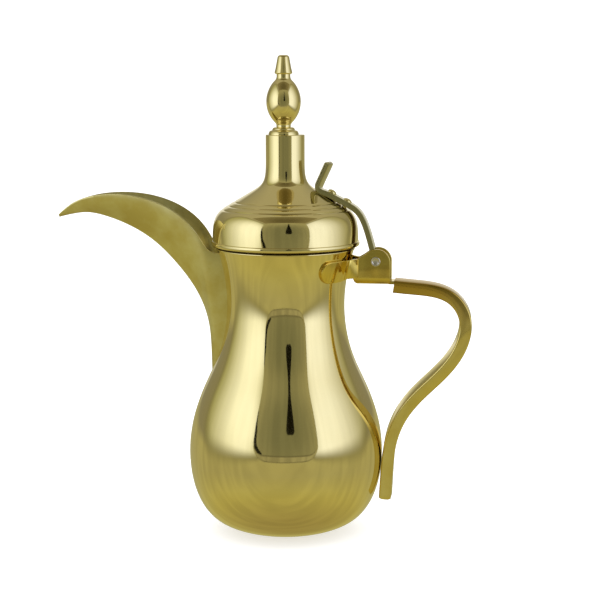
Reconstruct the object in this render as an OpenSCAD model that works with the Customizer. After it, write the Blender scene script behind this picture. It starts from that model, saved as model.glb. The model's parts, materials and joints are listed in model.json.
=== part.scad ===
// Dallah coffee pot: spun gourd-shaped body, beak spout pressed in two halves, bar handle on a bent
// sheet bracket, and a tall hinged lid with a riveted strap and a turned finial.
// The pot's axis is Z, its base stands on z = 0, the spout points to -X and the handle to +X.

/* [Body] */
// Thickness of the spun sheet of the body and the lid
wall = 0.8; // [0.7:0.1:1.0]
// Radius of the strainer holes behind the spout
strainer_r = 1.5; // [1:0.1:1.8]
// Rows of strainer holes
strainer_rows = 7; // [4:1:8]

/* [Spout] */
// Thickness of the pressed spout halves
spout_sheet = 1.2; // [0.9:0.1:1.4]
// How full the beak's V section is: 1 is straight-sided, more is rounder
spout_fullness = 1.5; // [1:0.1:2]

/* [Handle] */
// Thickness of the handle bar, seen from the side
handle_thick = 7.4; // [6:0.2:9]
// Width of the handle bar
handle_width = 12; // [10:0.5:14]
// Rounding of the bar's long edges
handle_round = 1.5; // [0.8:0.1:2]

/* [Hinge] */
// Thickness of the bracket's bent sheet
bracket_sheet = 2; // [1.5:0.1:2.2]
// Width over the bracket's two ears
bracket_width = 14.4; // [14.4:0.2:16]
// Radius of the hinge rivet's shank
pin_r = 1.75; // [1.5:0.05:2]
// Running clearance of the strap's eye on the rivet, on the radius
pin_clear = 0.05; // [0.02:0.01:0.1]

/* [Strap] */
// Width of the lid strap
strap_width = 9.6; // [8.6:0.2:9.6]
// Thickness of the lid strap
strap_thick = 3.3; // [2.8:0.1:3.3]
// Twist of the thumb tab, by hand, towards the spout's right
tab_twist = 9; // [0:1:14]
// Radius of the strap rivets' shanks
rivet_r = 1.4; // [1.2:0.1:1.6]

/* [Lid] */
// Radius of the chimney that carries the finial
chimney_r = 11.6; // [11.4:0.1:12]
// Radius of the finial's stud
stud_r = 2; // [1.6:0.1:2.4]

/* [Hidden] */
$fn = 96;

gold = "#b9a548";
steel = "#c9c7c0";

// Body profile, control points [radius, height] of a smooth curve
body_ctrl = [[18, 0], [31, 2.6], [44.5, 8], [53.4, 20], [58, 36], [58.8, 54], [56, 71], [49.4, 89],
             [40.6, 106], [36.4, 122], [34.9, 138], [36.2, 152], [38.2, 163], [41.4, 173.2]];
mouth_z = 173.2;

// Strainer: the grid of holes starts here and steps by strainer_pitch
strainer_z = 118;
strainer_pitch = 6;
strainer_cols = 3;

// Beak spout: control points of the keel [x, z] and of the rim [x, half width, z], tip first
keel_ctrl = [[-138.6, 190.6], [-124.6, 193.4], [-115.8, 193.4], [-97.5, 187.6], [-80.6, 178.3],
             [-67.5, 165.6], [-53.9, 148.7], [-45.8, 130.9], [-43.7, 110.1], [-44.6, 92.8],
             [-41.1, 77.8]];
rim_ctrl = [[-138.6, 0.9, 191.3], [-134, 1.6, 195.6], [-125.5, 3, 201.2], [-108.7, 6.8, 205],
            [-88.7, 11, 204.3], [-71.2, 13.4, 199.4], [-57.7, 15, 190.9], [-49.2, 15.2, 180.7],
            [-45.2, 14.2, 171.3], [-37.6, 12.5, 170.2], [-28.5, 11, 167.8]];

// Handle: control points of the bar's centre line [x, z, twist of the hand-bent bar in degrees]
handle_ctrl = [[62.6, 151.3, -4], [76.5, 150.1, -4], [89.5, 149.2, -3], [101, 145, -1],
               [108.4, 134, 1], [107.7, 121, 6], [101, 107.4, 11], [89.9, 95.6, 13],
               [78, 84.6, 12], [68.7, 72.1, 8], [63.6, 58.3, 4], [62, 44.3, 1], [61.2, 30.3, 0],
               [60.7, 20.7, 0]];

// Hinge line, and the bracket's side view
pin_x = 54.7;
pin_z = 165.8;
pin_head_r = 2.9;
pin_head_h = 0.9;
ear_x = 55.2;
ear_z = 165;
ear_r = 8.1;
ear_front_x = 41.1;
floor_z = 152.1;
bend_r = 4;
wing_z = 161;
wing_r = 6.4;
wing_from = -41;
wing_to = -22;
web_x = 43.1;
// The bar is brazed to a tongue of the bracket's floor, on a slanted end face through this point
bar_end_x = 65.5;
bar_end_tilt = 9;
tongue_width = 10;

// Lid strap: control points of its centre line [x, z], thumb tab first, eye last
strap_ctrl = [[26.6, 224], [24.2, 218.7], [21.9, 213.8], [19.8, 209.6], [20.5, 206.6],
              [25, 205.6], [31.2, 202.3], [37.8, 199], [43.8, 195.3], [47.2, 189.3],
              [49.7, 182.1], [51.5, 175.4], [53.4, 168.2]];
// Upright line about which the tab is twisted, and the height where it leaves the cone
tab_x = 20.3;
tab_foot = 208.5;
eye_r = 4.3;
rivet_at = [[27.25, 204.5], [36.4, 199.4]];
rivet_slope = 29.5;
rivet_head_r = 2.7;
rivet_head_h = 1.6;

// The finial and its stud stand this far off the lid's axis, along X
finial_x = -0.9;

// Lid: the dome's control points [radius, height] from the chimney's foot down to the rim
lid_r = 43.5;
dome_ctrl = [[chimney_r, 240], [chimney_r, 234], [chimney_r, 226], [chimney_r, 219.5],
             [12.2, 214.2], [14.2, 210.1], [19.5, 206.8], [27, 202.4], [33.8, 198.5], [39.8, 194.7],
             [42.7, 189.6], [43.4, 183.5], [43.5, 178.6], [lid_r, 174.9]];
// Turned grooves on the dome: radii, and the radius of each groove's section
groove_radii = [30.6, 34.2, 37.6];
groove_r = 0.5;
band_z = [174.3, 177.2];
band_out = 0.8;
band_lip = 1.3;
skirt_r = 38.4;
skirt_z = [170.2, 173.6];
skirt_flange = 1;

// Finial, control points [radius, height] of the three turned pieces
flange_z = 240;
egg_ctrl = [[4.3, 245.2], [4.3, 246.3], [6.4, 248.3], [9, 252.2], [10.3, 257], [10.4, 262],
            [8.8, 267], [6.3, 270.9], [4.3, 272.4], [4.1, 274.2]];
tip_z = 274.2;
tip_top_z = 286.6;
stud_z = [231, 280];

// Uniform cubic B-spline through the first and last control points, n steps to a span
function blend(t) = [pow(1 - t, 3), 3 * pow(t, 3) - 6 * t * t + 4,
                     -3 * pow(t, 3) + 3 * t * t + 3 * t + 1, pow(t, 3)] / 6;
function padded(p) = let (e = len(p) - 1)
    concat([2 * p[0] - p[1]], p, [2 * p[e] - p[e - 1]]);
function smooth_curve(p, n) = let (q = padded(p), e = len(p) - 1) concat(
    [for (i = [0:e - 1], k = [0:n - 1]) blend(k / n) * [q[i], q[i + 1], q[i + 2], q[i + 3]]],
    [p[e]]);

// Unit tangent at point i of a curve, and the curve moved sideways by d (to its left)
function unit(v) = v / norm(v);
function tangent(c, i) = unit(c[min(i + 1, len(c) - 1)] - c[max(i - 1, 0)]);
function moved(c, d) = [for (i = [0:len(c) - 1])
    let (t = tangent(c, i)) [c[i][0] - t[1] * d, c[i][1] + t[0] * d]];
function reversed(c) = [for (i = [len(c) - 1:-1:0]) c[i]];
function arc(cx, cy, r, from, to, n) = [for (i = [0:n])
    let (a = from + (to - from) * i / n) [cx + r * cos(a), cy + r * sin(a)]];

body_curve = smooth_curve(body_ctrl, 4);
dome_curve = smooth_curve(dome_ctrl, 4);

// Radius of the body's outer profile at height z
function body_radius(z) = lookup(z, [for (p = body_curve) [p[1], p[0]]]);

// A solid of revolution under a profile of [radius, height] points
module turned(profile) {
    e = len(profile) - 1;
    rotate_extrude()
        polygon(concat([[0, profile[0][1]]], profile, [[0, profile[e][1]]]));
}

// An outline drawn in X and Z, extruded to a width centred on Y
module slab(width) {
    translate([0, width / 2, 0]) rotate([90, 0, 0]) linear_extrude(width) children();
}

// A cylinder along Y through [x, z]
module cross_pin(x, z, r, width) {
    translate([x, width / 2, z]) rotate([90, 0, 0]) cylinder(r = r, h = width);
}

// The body's outer form as one full solid, used to seat what is joined to it
module body_form() {
    turned(body_curve);
}

// The vessel: one spun shell with a flat base, a lip turned at the mouth, and strainer holes
module body_shell() {
    inner = moved(body_curve, wall);
    inside = [for (p = inner) if (p[0] > 16 && p[1] > wall) p];
    e = len(inside) - 1;
    color(gold) difference() {
        union() {
            body_form();
            translate([0, 0, mouth_z - 0.7]) rotate_extrude()
                translate([40.9, 0]) circle(r = 0.7, $fn = 24);
        }
        rotate_extrude() polygon(concat([[0, wall], [inside[0][0], wall]], inside,
            [[inside[e][0], mouth_z + 1], [0, mouth_z + 1]]));
        for (row = [0:strainer_rows - 1], col = [0:strainer_cols - 1])
            translate([-25, (col - (strainer_cols - 1) / 2) * strainer_pitch,
                       strainer_z + row * strainer_pitch])
                rotate([0, -90, 0]) cylinder(r = strainer_r, h = 20, $fn = 24);
    }
}

// One half of the beak: a skin between keel and rim, given its sheet thickness inwards
spout_steps = 3;
spout_across = 6;
keel = smooth_curve(keel_ctrl, spout_steps);
rim = smooth_curve(rim_ctrl, spout_steps);
function skin(i, u) = let (k = keel[i], r = rim[i])
    [k[0] + (r[0] - k[0]) * u, r[1] * (1 - pow(1 - u, spout_fullness)), k[1] + (r[2] - k[1]) * u];
function skin_normal(i, u) = let (
    a = max(i - 1, 0), b = min(i + 1, len(keel) - 1), s = max(u - 0.04, 0), t = min(u + 0.04, 1))
    unit(cross(skin(b, u) - skin(a, u), skin(i, t) - skin(i, s)));
// At the keel and near it the inner skin stays on its own side of the middle plane
function skin_inner(i, u) = let (p = skin(i, u) - skin_normal(i, u) * spout_sheet)
    u == 0 ? [p[0], 0, p[2]] : [p[0], max(p[1], 0.02 * u), p[2]];

module spout_half() {
    rings = len(keel);
    row = 2 * (spout_across + 1);
    us = [for (j = [0:spout_across]) j / spout_across];
    points = [for (i = [0:rings - 1])
        each concat([for (u = us) skin(i, u)], [for (u = reversed(us)) skin_inner(i, u)])];
    sides = [for (i = [0:rings - 2], j = [0:row - 1])
        let (a = i * row + j, b = i * row + (j + 1) % row) each [[a, b, b + row], [a, b + row, a + row]]];
    caps = [[for (j = [row - 1:-1:0]) j], [for (j = [0:row - 1]) (rings - 1) * row + j]];
    difference() {
        polyhedron(points = points, faces = concat(sides, caps), convexity = 6);
        body_form();
    }
}

module spout_half_far() {
    color(gold) spout_half();
}

module spout_half_near() {
    color(gold) mirror([0, 1, 0]) spout_half();
}

// The space on the bracket's side of the bar's end face
module before_bar() {
    translate([bar_end_x, 0, floor_z]) rotate([0, bar_end_tilt, 0]) translate([-30, -10, -20])
        cube([30, 20, 40]);
}

// Bent sheet bracket: two ears joined by a floor, and a wing each side laid on the neck
module ear_outline() {
    polygon(concat(
        [[web_x, floor_z], [ear_x + ear_r, floor_z]],
        arc(ear_x, ear_z, ear_r, 0, 130, 16),
        [[46.7, 168.9], [web_x, 167], [ear_front_x, 157.2]]));
}

module channel_section() {
    half = bracket_width / 2;
    difference() {
        polygon(concat([[half, 20]], [[-half, 20]],
            arc(-half + bend_r, bend_r, bend_r, 180, 270, 8),
            arc(half - bend_r, bend_r, bend_r, 270, 360, 8)));
        inset = bend_r - bracket_sheet;
        polygon(concat([[half - bracket_sheet, 21], [-half + bracket_sheet, 21]],
            arc(-half + bend_r, bend_r, inset, 180, 270, 8),
            arc(half - bend_r, bend_r, inset, 270, 360, 8)));
    }
}

module wing() {
    // The sector runs past the half-round end; the outline below trims it
    flat = [for (z = [wing_z - wing_r:1.6:wing_z + wing_r]) [body_radius(z), z]];
    intersection() {
        rotate([0, 0, wing_from - 12]) rotate_extrude(angle = wing_to - wing_from + 12)
            polygon(concat(flat, reversed([for (p = flat) [p[0] + bracket_sheet, p[1]]])));
        rotate([0, 0, wing_from]) translate([0, 0, wing_z]) rotate([0, 90, 0]) union() {
            cylinder(r = wing_r, h = 60);
            translate([-wing_r, 0, 0]) cube([2 * wing_r, 40, 60]);
        }
    }
}

module web() {
    half = bracket_width / 2;
    r = body_radius(wing_z) + bracket_sheet / 2;
    start = [r * cos(wing_to), r * sin(wing_to)];
    end = [web_x, -half + bracket_sheet / 2];
    side = unit([end[1] - start[1], start[0] - end[0]]) * bracket_sheet / 2;
    difference() {
        translate([0, 0, wing_z - wing_r + 1.2]) linear_extrude(2 * wing_r - 1.4)
            polygon([start - side, end - side, end + side, start + side]);
        body_form();
    }
}

module hinge_bracket() {
    color(gold) difference() {
        union() {
            intersection() {
                translate([ear_front_x, 0, floor_z]) rotate([90, 0, 90])
                    linear_extrude(ear_x + ear_r - ear_front_x) channel_section();
                slab(bracket_width + 2) ear_outline();
            }
            intersection() {
                translate([ear_x, -tongue_width / 2, floor_z])
                    cube([bar_end_x, tongue_width, bracket_sheet]);
                before_bar();
            }
            for (side = [0, 1]) mirror([0, side, 0]) {
                wing();
                web();
            }
        }
        cross_pin(pin_x, pin_z, pin_r, bracket_width + 4);
        body_form();
    }
}

// Steel rivet that the lid turns on, headed over outside both ears
module hinge_rivet() {
    color(steel) {
        cross_pin(pin_x, pin_z, pin_r, bracket_width);
        for (side = [0, 1]) mirror([0, side, 0])
            translate([pin_x, -bracket_width / 2, pin_z]) rotate([90, 0, 0])
                cylinder(r1 = pin_head_r, r2 = pin_head_r - 0.5, h = pin_head_h);
    }
}

// Bar handle, hand bent with a slight twist, seated on the bulb below and on the bracket above
function bar_section() = let (a = handle_thick / 2, b = handle_width / 2, r = handle_round)
    concat(arc(a - r, b - r, r, 0, 90, 3), arc(-a + r, b - r, r, 90, 180, 3),
           arc(-a + r, -b + r, r, 180, 270, 3), arc(a - r, -b + r, r, 270, 360, 3));

module handle() {
    line = smooth_curve(handle_ctrl, 4);
    section = bar_section();
    rings = len(line);
    row = len(section);
    points = [for (i = [0:rings - 1]) each
        let (d = line[min(i + 1, rings - 1)] - line[max(i - 1, 0)], t = unit([d[0], d[1]]),
             out = [-t[1], 0, t[0]], w = line[i][2], c = [line[i][0], 0, line[i][1]])
        [for (p = section)
            c + out * (p[0] * cos(w) - p[1] * sin(w)) + [0, 1, 0] * (p[0] * sin(w) + p[1] * cos(w))]];
    sides = [for (i = [0:rings - 2], j = [0:row - 1])
        let (a = i * row + j, b = i * row + (j + 1) % row) each [[a, b + row, b], [a, a + row, b + row]]];
    caps = [[for (j = [0:row - 1]) j], [for (j = [row - 1:-1:0]) (rings - 1) * row + j]];
    color(gold) difference() {
        polyhedron(points = points, faces = concat(sides, caps), convexity = 6);
        body_form();
        before_bar();
    }
}

// Lid: spun in one piece from the rim up to the closed chimney
module lid_form() {
    turned(reversed(dome_curve));
}

module lid_shell() {
    inner = [for (p = moved(dome_curve, -wall)) if (p[1] < 239) p];
    color(gold) difference() {
        lid_form();
        rotate_extrude() polygon(concat([[0, 240 - wall], [chimney_r - wall, 240 - wall]], inner,
            [[lid_r - wall, 170], [0, 170]]));
        for (r = groove_radii)
            rotate_extrude() translate([r, lookup(r, [for (p = dome_curve) [p[0], p[1]]]) + 0.25])
                circle(r = groove_r, $fn = 16);
        for (at = rivet_at) rivet_shank(at, rivet_r);
        translate([finial_x, 0, 230]) cylinder(r = stud_r, h = 20);
    }
}

// Rolled half-round bead that stiffens the lid's rim, with a lip turned in under the rim
module lid_band() {
    r = lid_r;
    z = band_z;
    lip = 0.6;
    round_r = (z[1] - z[0]) / 2;
    color(gold) rotate_extrude() polygon(concat(
        [[r - band_lip, z[0]], [r - 0.3, z[0]]],
        [for (p = arc(0, z[0] + round_r, round_r, -80, 80, 10)) [r + p[0] * band_out / round_r, p[1]]],
        [[r, z[1]], [r, z[0] + lip], [r - band_lip, z[0] + lip]]));
}

// Skirt inside the lid that drops into the mouth and keeps the lid centred
module lid_skirt() {
    color(gold) rotate_extrude() polygon([
        [skirt_r - wall, skirt_z[0]], [skirt_r, skirt_z[0]], [skirt_r, skirt_z[1]],
        [lid_r - band_lip, skirt_z[1]], [lid_r - band_lip, skirt_z[1] + skirt_flange],
        [skirt_r - wall, skirt_z[1] + skirt_flange]]);
}

// A rivet's shank, square to the strap where it lies on the cone
module rivet_shank(at, r) {
    translate([at[0], 0, at[1]]) rotate([0, rivet_slope, 0])
        translate([0, 0, -strap_thick]) cylinder(r = r, h = 2 * strap_thick);
}

// The strap's bar before the tab is twisted
module strap_bar() {
    line = smooth_curve(strap_ctrl, 4);
    half = strap_thick / 2;
    slab(strap_width) polygon(concat(moved(line, half), reversed(moved(line, -half))));
}

// Everything round the tab above a height
module above(z) {
    translate([tab_x - 10, -10, z]) cube([25, 20, 30]);
}

// Strap: thumb tab, straight run along the cone, free run down to the hinge eye
module lid_strap() {
    color(gold) difference() {
        union() {
            difference() {
                strap_bar();
                above(tab_foot);
            }
            translate([tab_x, 0, 0]) rotate([0, 0, -tab_twist]) translate([-tab_x, 0, 0])
                intersection() {
                    strap_bar();
                    above(tab_foot - 1);
                }
            cross_pin(pin_x, pin_z, eye_r, strap_width);
        }
        cross_pin(pin_x, pin_z, pin_r + pin_clear, strap_width + 2);
        for (at = rivet_at) rivet_shank(at, rivet_r);
        lid_form();
    }
}

// Two domed rivets through the strap and the lid, headed over inside the cone
module strap_rivets() {
    head = [[rivet_head_r, 0], [rivet_head_r - 0.3, 0.7], [1.6, rivet_head_h - 0.2], [0.8, rivet_head_h]];
    top = strap_thick / 2;
    tail = -strap_thick / 2 - wall - 0.35;
    color(gold) for (at = rivet_at)
        translate([at[0], 0, at[1]]) rotate([0, rivet_slope, 0]) {
            translate([0, 0, tail]) cylinder(r = rivet_r, h = top - tail, $fn = 48);
            translate([0, 0, top]) turned(head);
            translate([0, 0, tail - 0.6]) cylinder(r = rivet_head_r - 0.5, h = 0.6, $fn = 48);
        }
}

// Stepped flange under the finial
module finial_flange() {
    color(gold) translate([finial_x, 0, 0]) difference() {
        translate([0, 0, flange_z]) turned(concat([[9, 0], [9, 0.8]], arc(7.2, 0.9, 1.6, 10, 90, 5),
            [[6.9, 2.9]], arc(5.2, 2.8, 1.5, 10, 80, 5), [[4.3, 4.6], [4.3, 5.2]]));
        translate([0, 0, flange_z - 1]) cylinder(r = stud_r, h = 10);
    }
}

// Egg-shaped middle of the finial
module finial_egg() {
    color(gold) translate([finial_x, 0, 0]) difference() {
        turned(smooth_curve(egg_ctrl, 4));
        translate([0, 0, flange_z]) cylinder(r = stud_r, h = 40);
    }
}

// Tapering tip, blind-threaded onto the stud
module finial_tip() {
    h = tip_top_z - tip_z;
    color(gold) translate([finial_x, 0, 0]) difference() {
        translate([0, 0, tip_z]) turned(concat([[4.1, 0], [4.1, 1.2]], arc(4.4, 2.2, 0.9, -60, 20, 5),
            [[4.7, 4.6]], arc(1.7, h - 1.9, 1.9, 20, 90, 6)));
        translate([0, 0, tip_z - 1]) cylinder(r = stud_r, h = stud_z[1] - tip_z + 1);
    }
}

// Stud that draws the finial down onto the chimney
module finial_stud() {
    color(steel) translate([finial_x, 0, stud_z[0]]) cylinder(r = stud_r, h = stud_z[1] - stud_z[0]);
}

// Hexagon nut on the stud, under the chimney's top
module finial_nut() {
    color(steel) translate([finial_x, 0, 240 - wall - 3.2]) difference() {
        cylinder(r = 4, h = 3.2, $fn = 6);
        translate([0, 0, -1]) cylinder(r = stud_r, h = 6);
    }
}

body_shell();
spout_half_near();
spout_half_far();
hinge_bracket();
hinge_rivet();
handle();
lid_shell();
lid_band();
lid_skirt();
lid_strap();
strap_rivets();
finial_flange();
finial_egg();
finial_tip();
finial_stud();
finial_nut();
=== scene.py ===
import json
import math

import bmesh
import bpy
from mathutils import Matrix, Vector


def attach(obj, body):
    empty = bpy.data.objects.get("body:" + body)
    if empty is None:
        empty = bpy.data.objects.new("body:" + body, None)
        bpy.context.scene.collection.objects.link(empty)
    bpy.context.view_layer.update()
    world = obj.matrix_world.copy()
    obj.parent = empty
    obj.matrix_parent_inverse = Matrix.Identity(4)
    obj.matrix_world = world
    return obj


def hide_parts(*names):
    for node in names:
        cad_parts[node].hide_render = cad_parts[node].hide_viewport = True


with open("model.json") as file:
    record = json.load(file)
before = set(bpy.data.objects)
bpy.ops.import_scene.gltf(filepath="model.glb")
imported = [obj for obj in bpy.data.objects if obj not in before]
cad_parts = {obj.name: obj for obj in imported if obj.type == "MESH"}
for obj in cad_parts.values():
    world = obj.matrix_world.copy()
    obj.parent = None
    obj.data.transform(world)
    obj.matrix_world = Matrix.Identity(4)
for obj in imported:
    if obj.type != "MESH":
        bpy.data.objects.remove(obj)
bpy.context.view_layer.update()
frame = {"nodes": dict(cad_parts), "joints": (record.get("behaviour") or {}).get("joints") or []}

mm = 0.001

# ---- Vessel ----
# The vessel is one gourd-shaped shell spun from 0.8 mm brass sheet over a chuck, with a bead turned
# at its mouth and a strainer drilled behind the spout. It is gold plated and buffed to a mirror.
vessel_points = [(18, 0), (31, 2.6), (44.5, 8), (53.4, 20), (58, 36), (58.8, 54), (56, 71),
                 (49.4, 89), (40.6, 106), (36.4, 122), (34.9, 138), (36.2, 152), (38.2, 163),
                 (41.4, 173.2)]
sheet = 0.8
mouth_height = 173.2
bead_radius = 0.7
bead_centre = (40.9, mouth_height - bead_radius)
strainer_radius = 1.5
strainer_foot = 118
strainer_pitch = 6
strainer_rows = 7
strainer_columns = 3


def smooth_curve(points, steps):
    """Even cubic B-spline that starts at the first point and ends at the last."""
    known = [Vector(p) for p in points]
    ends = [2 * known[0] - known[1]] + known + [2 * known[-1] - known[-2]]
    curve = []
    for i in range(len(known) - 1):
        for k in range(steps):
            t = k / steps
            share = ((1 - t) ** 3, 3 * t ** 3 - 6 * t * t + 4,
                     -3 * t ** 3 + 3 * t * t + 3 * t + 1, t ** 3)
            point = sum((ends[i + n] * share[n] for n in range(4)), Vector([0] * len(known[0])))
            curve.append(point / 6)
    return curve + [known[-1]]


def moved(curve, distance):
    """A flat curve moved sideways, to its left."""
    result = []
    for i, point in enumerate(curve):
        along = (curve[min(i + 1, len(curve) - 1)] - curve[max(i - 1, 0)]).normalized()
        result.append(Vector((point.x - along.y * distance, point.y + along.x * distance)))
    return result


def arc(centre, radius, start, end, steps):
    """Points on an arc, from one angle in degrees to another."""
    angles = [math.radians(start + (end - start) * i / steps) for i in range(steps + 1)]
    return [Vector((centre[0] + radius * math.cos(a), centre[1] + radius * math.sin(a)))
            for a in angles]


def turned(profile, turns, closed=False):
    """A profile of (radius, height) points in mm, turned about the Z axis."""
    shape = bmesh.new()
    rings = []
    for radius, height in profile:
        if radius < 0.001:
            rings.append([shape.verts.new((0, 0, height * mm))])
            continue
        ring = []
        for i in range(turns):
            a = 2 * math.pi * i / turns
            ring.append(shape.verts.new((radius * math.cos(a) * mm, radius * math.sin(a) * mm,
                                         height * mm)))
        rings.append(ring)
    pairs = list(zip(rings, rings[1:]))
    if closed:
        pairs.append((rings[-1], rings[0]))
    for low, high in pairs:
        for i in range(turns):
            j = (i + 1) % turns
            corners = [low[i % len(low)], low[j % len(low)], high[j % len(high)], high[i % len(high)]]
            corners = list(dict.fromkeys(corners))
            if len(corners) > 2:
                shape.faces.new(corners)
    return shape


def piece(name, shape, body, material, stands_for, sharp=32):
    """Makes a mesh into a named piece that rides on a body in place of its CAD nodes."""
    bmesh.ops.recalc_face_normals(shape, faces=shape.faces[:])
    mesh = bpy.data.meshes.new(name)
    shape.to_mesh(mesh)
    shape.free()
    mesh.polygons.foreach_set("use_smooth", [True] * len(mesh.polygons))
    mesh.set_sharp_from_angle(angle=math.radians(sharp))
    mesh.materials.append(material)
    thing = bpy.data.objects.new(name, mesh)
    bpy.context.scene.collection.objects.link(thing)
    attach(thing, body)
    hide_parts(*stands_for)
    return thing


def cut_away(shape, tool):
    """The shape with the tool's solid taken off it."""
    pair = []
    for name, mesh_source in (("work", shape), ("tool", tool)):
        bmesh.ops.recalc_face_normals(mesh_source, faces=mesh_source.faces[:])
        mesh = bpy.data.meshes.new(name)
        mesh_source.to_mesh(mesh)
        mesh_source.free()
        thing = bpy.data.objects.new(name, mesh)
        bpy.context.scene.collection.objects.link(thing)
        pair.append(thing)
    work, cutter = pair
    cut = work.modifiers.new("cut", "BOOLEAN")
    cut.operation = "DIFFERENCE"
    cut.solver = "EXACT"
    cut.object = cutter
    bpy.context.view_layer.update()
    result = bpy.data.meshes.new_from_object(work.evaluated_get(bpy.context.evaluated_depsgraph_get()))
    done = bmesh.new()
    done.from_mesh(result)
    for thing in pair:
        mesh = thing.data
        bpy.data.objects.remove(thing)
        bpy.data.meshes.remove(mesh)
    bpy.data.meshes.remove(result)
    return done


def linear(code):
    """An sRGB hex colour as linear red, green, blue and alpha."""
    parts = [int(code[i:i + 2], 16) / 255 for i in (1, 3, 5)]
    return tuple(p / 12.92 if p <= 0.04045 else ((p + 0.055) / 1.055) ** 2.4 for p in parts) + (1,)


def add_node(tree, kind, links=None, **settings):
    """Adds a node with its settings. links gives each input a value or another node's socket."""
    node = tree.nodes.new(kind)
    for name, value in settings.items():
        setattr(node, name, value)
    for name, value in (links or {}).items():
        if isinstance(value, bpy.types.NodeSocket):
            tree.links.new(value, node.inputs[name])
        else:
            node.inputs[name].default_value = value
    return node


def blank_material(name):
    """An empty material and its node tree."""
    material = bpy.data.materials.new(name)
    material.use_nodes = True
    material.node_tree.nodes.clear()
    return material, material.node_tree


# Gold plate over brass, buffed to a mirror on a lathe. The eye gets a clear, slightly greenish gold
# mirror, faint rings left by the buff, and a slow ripple from the spinning.
def buffed_gold(name, light, deep, haze, ring_step, ripple_step, ripple_depth):
    material, tree = blank_material(name)
    place = add_node(tree, "ShaderNodeTexCoord")
    cloud = add_node(tree, "ShaderNodeTexNoise", {"Vector": place.outputs["Object"],
                     "Scale": 1 / (30 * mm), "Detail": 3.0, "Roughness": 0.55})
    tint = add_node(tree, "ShaderNodeMix", {"Factor": cloud.outputs["Fac"], "A": linear(light),
                    "B": linear(deep)}, data_type="RGBA")
    ringed = add_node(tree, "ShaderNodeMapping", {"Vector": place.outputs["Object"],
                      "Scale": (6, 6, 1 / (ring_step * mm))})
    rings = add_node(tree, "ShaderNodeTexNoise", {"Vector": ringed.outputs["Vector"], "Scale": 1.0,
                     "Detail": 4.0, "Roughness": 0.6})
    smear = add_node(tree, "ShaderNodeTexNoise", {"Vector": place.outputs["Object"],
                     "Scale": 1 / (14 * mm), "Detail": 5.0, "Roughness": 0.7})
    both = add_node(tree, "ShaderNodeMath", {0: rings.outputs["Fac"], 1: smear.outputs["Fac"]},
                    operation="MULTIPLY")
    gloss = add_node(tree, "ShaderNodeMapRange", {"Value": both.outputs[0], "From Min": 0.12,
                     "From Max": 0.4, "To Min": haze * 0.7, "To Max": haze * 1.5})
    fine = add_node(tree, "ShaderNodeBump", {"Height": rings.outputs["Fac"], "Strength": 1.0,
                    "Distance": 0.0012 * mm})
    swell = add_node(tree, "ShaderNodeTexNoise", {"Vector": place.outputs["Object"],
                     "Scale": 1 / (ripple_step * mm), "Detail": 1.5, "Roughness": 0.4})
    bump = add_node(tree, "ShaderNodeBump", {"Height": swell.outputs["Fac"], "Strength": 1.0,
                    "Distance": ripple_depth * mm, "Normal": fine.outputs["Normal"]})
    shader = add_node(tree, "ShaderNodeBsdfPrincipled", {"Base Color": tint.outputs["Result"],
                      "Metallic": 1.0, "Roughness": gloss.outputs["Result"],
                      "Normal": bump.outputs["Normal"]})
    add_node(tree, "ShaderNodeOutputMaterial", {"Surface": shader.outputs["BSDF"]})
    return material


mirror_gold = buffed_gold("mirror_buffed_gold_plate", "#f1e3aa", "#ecdb9c", 0.05, 0.8, 26, 0.05)

vessel_curve = smooth_curve(vessel_points, 8)
outside = [p for p in vessel_curve if p.y < bead_centre[1] - 0.4]
bead = arc(bead_centre, bead_radius, -38, 205, 14)
inside = [p for p in moved(vessel_curve, sheet) if p.x > 16 and sheet < p.y < bead_centre[1] - 0.7]
inside.reverse()
vessel_profile = ([(0, 0), (9, 0), (15, 0)] + outside + bead + inside
                  + [(inside[-1].x, sheet), (9, sheet), (0, sheet)])
vessel = turned(vessel_profile, 192)

drills = bmesh.new()
for row in range(strainer_rows):
    for column in range(strainer_columns):
        across = (column - (strainer_columns - 1) / 2) * strainer_pitch
        height = strainer_foot + row * strainer_pitch
        place = Matrix.Translation(Vector((-35, across, height)) * mm) @ Matrix.Rotation(math.pi / 2, 4, "Y")
        bmesh.ops.create_cone(drills, cap_ends=True, segments=24, radius1=strainer_radius * mm,
                              radius2=strainer_radius * mm, depth=20 * mm, matrix=place)
vessel = cut_away(vessel, drills)
piece("vessel", vessel, "pot", mirror_gold, ["body_shell"])

# ---- Beak spout ----
# The beak is pressed from 1.2 mm sheet in two mirrored halves, brazed along the keel and onto the
# vessel's shoulder. It is open on top. Its plating is satin, as a press leaves it, not buffed.
keel_points = [(-138.6, 190.6), (-124.6, 193.4), (-115.8, 193.4), (-97.5, 187.6), (-80.6, 178.3),
               (-67.5, 165.6), (-53.9, 148.7), (-45.8, 130.9), (-43.7, 110.1), (-44.6, 92.8),
               (-41.1, 77.8)]
rim_points = [(-138.6, 0.9, 191.3), (-134, 1.6, 195.6), (-125.5, 3, 201.2), (-108.7, 6.8, 205),
              (-88.7, 11, 204.3), (-71.2, 13.4, 199.4), (-57.7, 15, 190.9), (-49.2, 15.2, 180.7),
              (-45.2, 14.2, 171.3), (-37.6, 12.5, 170.2), (-28.5, 11, 167.8)]
spout_sheet = 1.2
fullness = 1.5
spout_lengthwise = 10
spout_across = 18

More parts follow.
